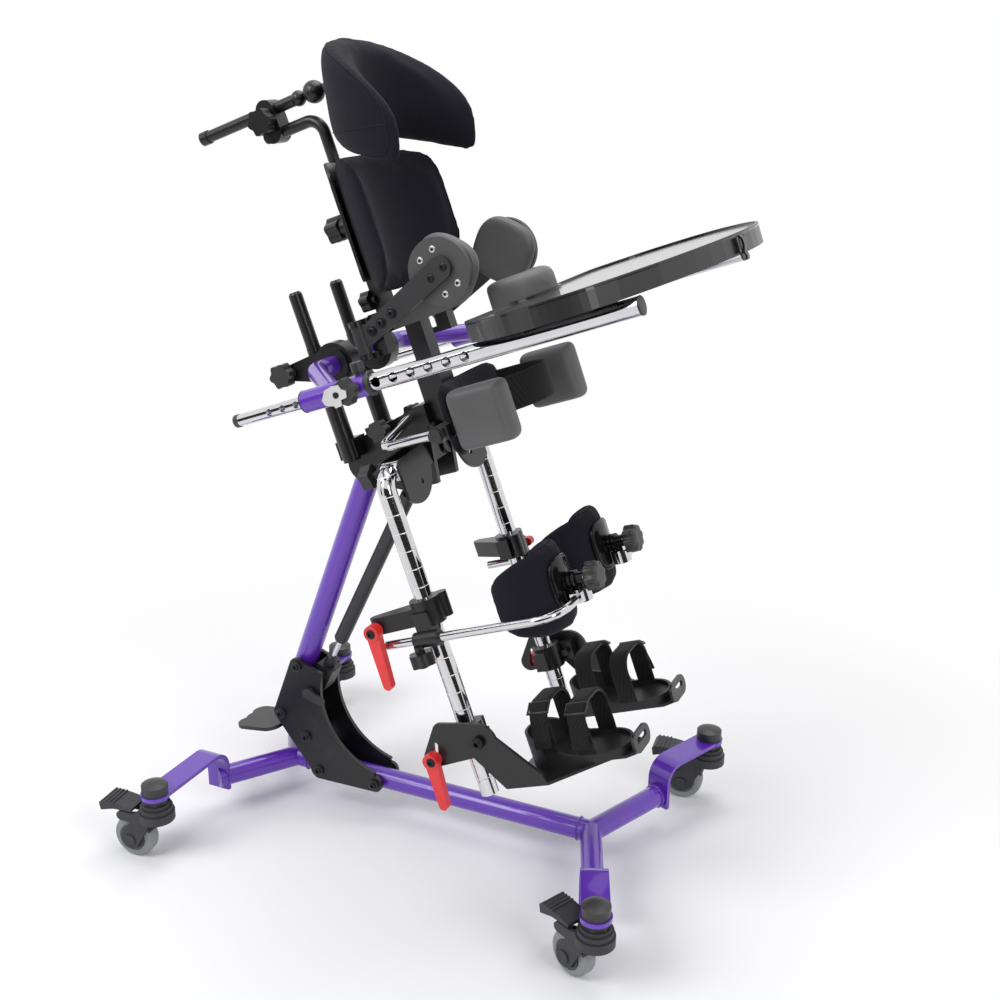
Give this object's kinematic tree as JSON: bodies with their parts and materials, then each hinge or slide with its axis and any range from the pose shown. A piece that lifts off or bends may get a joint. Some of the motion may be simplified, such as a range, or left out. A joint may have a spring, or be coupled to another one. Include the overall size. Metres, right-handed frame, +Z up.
{
  "type": "standing frame",
  "caption": "Tilting child's standing frame on a caster base, with tray, head, trunk and hip pads, knee cups and strapped foot plates.",
  "frame": {"origin": "on the floor under the middle of the overall box", "axes": "+X forward to the tray, +Y to the user's left, +Z up"},
  "size_m": [0.848, 0.56, 1.1418],
  "materials": {
    "purple_paint": "gloss",
    "black_metal": "satin",
    "chrome": "polished",
    "grey_plastic": "matte",
    "tray_plastic": "gloss",
    "vinyl": "satin",
    "black_fabric": "matte",
    "caster_plastic": "matte",
    "tyre": "matte",
    "red_lever": "satin",
    "black_plastic": "satin"
  },
  "bodies": {
    "base": {"base_spine": "purple_paint", "cross_tubes": "purple_paint", "base_fasteners": "grey_plastic", "mast_plates": "black_metal", "mast_tube": "purple_paint"},
    "caster_rr": {"caster_fork_rr": "caster_plastic"},
    "wheel_rr": {"caster_wheel_rr": "tyre"},
    "brake_rr": {"caster_brake_rr": "caster_plastic"},
    "caster_rl": {"caster_fork_rl": "caster_plastic"},
    "wheel_rl": {"caster_wheel_rl": "tyre"},
    "brake_rl": {"caster_brake_rl": "caster_plastic"},
    "caster_fr": {"caster_fork_fr": "caster_plastic"},
    "wheel_fr": {"caster_wheel_fr": "tyre"},
    "brake_fr": {"caster_brake_fr": "caster_plastic"},
    "caster_fl": {"caster_fork_fl": "caster_plastic"},
    "wheel_fl": {"caster_wheel_fl": "tyre"},
    "brake_fl": {"caster_brake_fl": "caster_plastic"},
    "gas_lower": {"gas_rod": "chrome"},
    "gas_upper": {"gas_cylinder": "black_metal"},
    "pedal": {"release_pedal": "grey_plastic"},
    "frame": {"hip_hub": "black_metal", "push_frame": "purple_paint", "rear_posts": "black_metal", "hip_bars": "chrome", "frame_knobs": "grey_plastic", "pelvic_pad": "black_fabric"},
    "tray": {"tray_tubes": "chrome", "tray_panel": "tray_plastic", "chest_pad": "vinyl"},
    "back": {"back_frame": "black_metal", "back_support": "black_metal", "back_pad": "black_fabric"},
    "head_arm": {"head_bar": "black_metal"},
    "head_rest": {"head_pad": "black_fabric"},
    "lateral_right": {"lateral_arm_right": "black_metal", "lateral_pad_right": "vinyl"},
    "hip_right": {"hip_pad_right": "vinyl"},
    "leg_right": {"leg_tube_right": "chrome"},
    "knee_right": {"knee_clamp_right": "black_metal"},
    "knee_lock_right": {"knee_lever_right": "red_lever"},
    "knee_arm_right": {"knee_rod_right": "chrome"},
    "knee_rest_right": {"knee_cup_right": "black_plastic", "knee_pad_right": "black_fabric"},
    "foot_right": {"foot_clamp_right": "black_metal"},
    "foot_rest_right": {"foot_plate_right": "black_metal", "foot_tray_right": "black_plastic"},
    "foot_lock_right": {"foot_lever_right": "red_lever"},
    "lateral_left": {"lateral_arm_left": "black_metal", "lateral_pad_left": "vinyl"},
    "hip_left": {"hip_pad_left": "vinyl"},
    "leg_left": {"leg_tube_left": "chrome"},
    "knee_left": {"knee_clamp_left": "black_metal"},
    "knee_lock_left": {"knee_lever_left": "red_lever"},
    "knee_arm_left": {"knee_rod_left": "chrome"},
    "knee_rest_left": {"knee_cup_left": "black_plastic", "knee_pad_left": "black_fabric"},
    "foot_left": {"foot_clamp_left": "black_metal"},
    "foot_rest_left": {"foot_plate_left": "black_metal", "foot_tray_left": "black_plastic"},
    "foot_lock_left": {"foot_lever_left": "red_lever"}
  },
  "joints": [
    {"name": "swivel_rr", "type": "hinge", "parent": "base", "child": "caster_rr", "pos_m": [-0.338, -0.254, 0.1], "axis": [0, 0, 1], "continuous": true},
    {"name": "roll_rr", "type": "hinge", "parent": "caster_rr", "child": "wheel_rr", "pos_m": [-0.37585, -0.25731, 0.032], "axis": [-0.0872, 0.9962, 0], "continuous": true},
    {"name": "brake_rr", "type": "hinge", "parent": "caster_rr", "child": "brake_rr", "pos_m": [-0.38781, -0.25836, 0.07], "axis": [0.0872, -0.9962, 0], "range_deg": [0, 10]},
    {"name": "swivel_rl", "type": "hinge", "parent": "base", "child": "caster_rl", "pos_m": [-0.338, 0.254, 0.1], "axis": [0, 0, 1], "continuous": true},
    {"name": "roll_rl", "type": "hinge", "parent": "caster_rl", "child": "wheel_rl", "pos_m": [-0.376, 0.254, 0.032], "axis": [0, 1, 0], "continuous": true},
    {"name": "brake_rl", "type": "hinge", "parent": "caster_rl", "child": "brake_rl", "pos_m": [-0.388, 0.254, 0.07], "axis": [0, -1, 0], "range_deg": [0, 10]},
    {"name": "swivel_fr", "type": "hinge", "parent": "base", "child": "caster_fr", "pos_m": [0.341, -0.244, 0.1], "axis": [0, 0, 1], "continuous": true},
    {"name": "roll_fr", "type": "hinge", "parent": "caster_fr", "child": "wheel_fr", "pos_m": [0.30656, -0.22794, 0.032], "axis": [0.4226, 0.9063, 0], "continuous": true},
    {"name": "brake_fr", "type": "hinge", "parent": "caster_fr", "child": "brake_fr", "pos_m": [0.29568, -0.22287, 0.07], "axis": [-0.4226, -0.9063, 0], "range_deg": [0, 10]},
    {"name": "swivel_fl", "type": "hinge", "parent": "base", "child": "caster_fl", "pos_m": [0.341, 0.244, 0.1], "axis": [0, 0, 1], "continuous": true},
    {"name": "roll_fl", "type": "hinge", "parent": "caster_fl", "child": "wheel_fl", "pos_m": [0.30328, 0.23937, 0.032], "axis": [-0.1219, 0.9925, 0], "continuous": true},
    {"name": "brake_fl", "type": "hinge", "parent": "caster_fl", "child": "brake_fl", "pos_m": [0.29137, 0.23791, 0.07], "axis": [0.1219, -0.9925, 0], "range_deg": [0, 10]},
    {"name": "frame_tilt", "type": "hinge", "parent": "base", "child": "frame", "pos_m": [-0.105, 0, 0.575], "axis": [0, -1, 0], "range_deg": [-20, 50]},
    {"name": "gas_pivot", "type": "hinge", "parent": "base", "child": "gas_lower", "pos_m": [-0.215, 0, 0.192], "axis": [0, -1, 0], "range_deg": [-2.41, 5.12]},
    {"name": "gas_stroke", "type": "slide", "parent": "gas_lower", "child": "gas_upper", "axis": [0.4384, 0, 0.8988], "range_m": [-0.0226, 0.0534]},
    {"name": "pedal_press", "type": "hinge", "parent": "base", "child": "pedal", "pos_m": [-0.225, 0, 0.113], "axis": [0, -1, 0], "range_deg": [0, 12], "stiffness_Nm_per_rad": 4, "springref_deg": -17.19},
    {"name": "tray_slide", "type": "slide", "parent": "frame", "child": "tray", "axis": [0.9397, 0, 0.342], "range_m": [-0.045, 0.05]},
    {"name": "back_height", "type": "slide", "parent": "frame", "child": "back", "axis": [-0.342, 0, 0.9397], "range_m": [-0.02, 0.06]},
    {"name": "head_depth", "type": "slide", "parent": "back", "child": "head_arm", "axis": [0.9397, 0, 0.342], "range_m": [-0.01, 0.05]},
    {"name": "head_nod", "type": "hinge", "parent": "head_arm", "child": "head_rest", "pos_m": [-0.18093, 0, 1.07307], "axis": [0, 1, 0], "range_deg": [-12, 6]},
    {"name": "lateral_swing_right", "type": "hinge", "parent": "back", "child": "lateral_right", "pos_m": [-0.05533, -0.107, 0.77186], "axis": [0.342, 0, -0.9397], "range_deg": [0, 60]},
    {"name": "hip_width_right", "type": "slide", "parent": "frame", "child": "hip_right", "axis": [0, -1, 0], "range_m": [-0.015, 0.03]},
    {"name": "leg_abduction_right", "type": "hinge", "parent": "frame", "child": "leg_right", "pos_m": [-0.01393, -0.103, 0.59963], "axis": [-0.9397, 0, -0.342], "range_deg": [0, 25]},
    {"name": "knee_height_right", "type": "slide", "parent": "leg_right", "child": "knee_right", "axis": [-0.342, 0, 0.9397], "range_m": [-0.03, 0.1]},
    {"name": "knee_lock_right", "type": "hinge", "parent": "knee_right", "child": "knee_lock_right", "pos_m": [-0.01182, -0.165, 0.39501], "axis": [0, 1, 0], "range_deg": [-10, 70]},
    {"name": "knee_depth_right", "type": "slide", "parent": "knee_right", "child": "knee_arm_right", "axis": [0.9397, 0, 0.342], "range_m": [-0.04, 0.05]},
    {"name": "knee_swivel_right", "type": "hinge", "parent": "knee_arm_right", "child": "knee_rest_right", "pos_m": [0.24515, -0.074, 0.46088], "axis": [-0.342, 0, 0.9397], "range_deg": [-4, 8]},
    {"name": "foot_height_right", "type": "slide", "parent": "leg_right", "child": "foot_right", "axis": [-0.342, 0, 0.9397], "range_m": [-0.05, 0.03]},
    {"name": "foot_angle_right", "type": "hinge", "parent": "foot_right", "child": "foot_rest_right", "pos_m": [0.13893, -0.16, 0.26152], "axis": [0, 1, 0], "range_deg": [-12, 12]},
    {"name": "foot_lock_right", "type": "hinge", "parent": "foot_rest_right", "child": "foot_lock_right", "pos_m": [0.07264, -0.165, 0.22143], "axis": [0, 1, 0], "range_deg": [-10, 70]},
    {"name": "lateral_swing_left", "type": "hinge", "parent": "back", "child": "lateral_left", "pos_m": [-0.05533, 0.107, 0.77186], "axis": [-0.342, 0, 0.9397], "range_deg": [0, 60]},
    {"name": "hip_width_left", "type": "slide", "parent": "frame", "child": "hip_left", "axis": [0, 1, 0], "range_m": [-0.015, 0.03]},
    {"name": "leg_abduction_left", "type": "hinge", "parent": "frame", "child": "leg_left", "pos_m": [-0.01393, 0.103, 0.59963], "axis": [0.9397, 0, 0.342], "range_deg": [0, 25]},
    {"name": "knee_height_left", "type": "slide", "parent": "leg_left", "child": "knee_left", "axis": [-0.342, 0, 0.9397], "range_m": [-0.03, 0.1]},
    {"name": "knee_lock_left", "type": "hinge", "parent": "knee_left", "child": "knee_lock_left", "pos_m": [-0.01182, 0.165, 0.39501], "axis": [0, 1, 0], "range_deg": [-70, 5]},
    {"name": "knee_depth_left", "type": "slide", "parent": "knee_left", "child": "knee_arm_left", "axis": [0.9397, 0, 0.342], "range_m": [-0.04, 0.05]},
    {"name": "knee_swivel_left", "type": "hinge", "parent": "knee_arm_left", "child": "knee_rest_left", "pos_m": [0.24515, 0.074, 0.46088], "axis": [0.342, 0, -0.9397], "range_deg": [-4, 8]},
    {"name": "foot_height_left", "type": "slide", "parent": "leg_left", "child": "foot_left", "axis": [-0.342, 0, 0.9397], "range_m": [-0.05, 0.03]},
    {"name": "foot_angle_left", "type": "hinge", "parent": "foot_left", "child": "foot_rest_left", "pos_m": [0.13893, 0.16, 0.26152], "axis": [0, 1, 0], "range_deg": [-12, 12]},
    {"name": "foot_lock_left", "type": "hinge", "parent": "foot_rest_left", "child": "foot_lock_left", "pos_m": [0.07264, 0.165, 0.22143], "axis": [0, 1, 0], "range_deg": [0, 70]}
  ],
  "couplings": [
    {"joint": "gas_pivot", "follows": "frame_tilt", "ratio": 0.0903},
    {"joint": "gas_stroke", "follows": "frame_tilt", "m_per_rad": 0.0589}
  ]
}
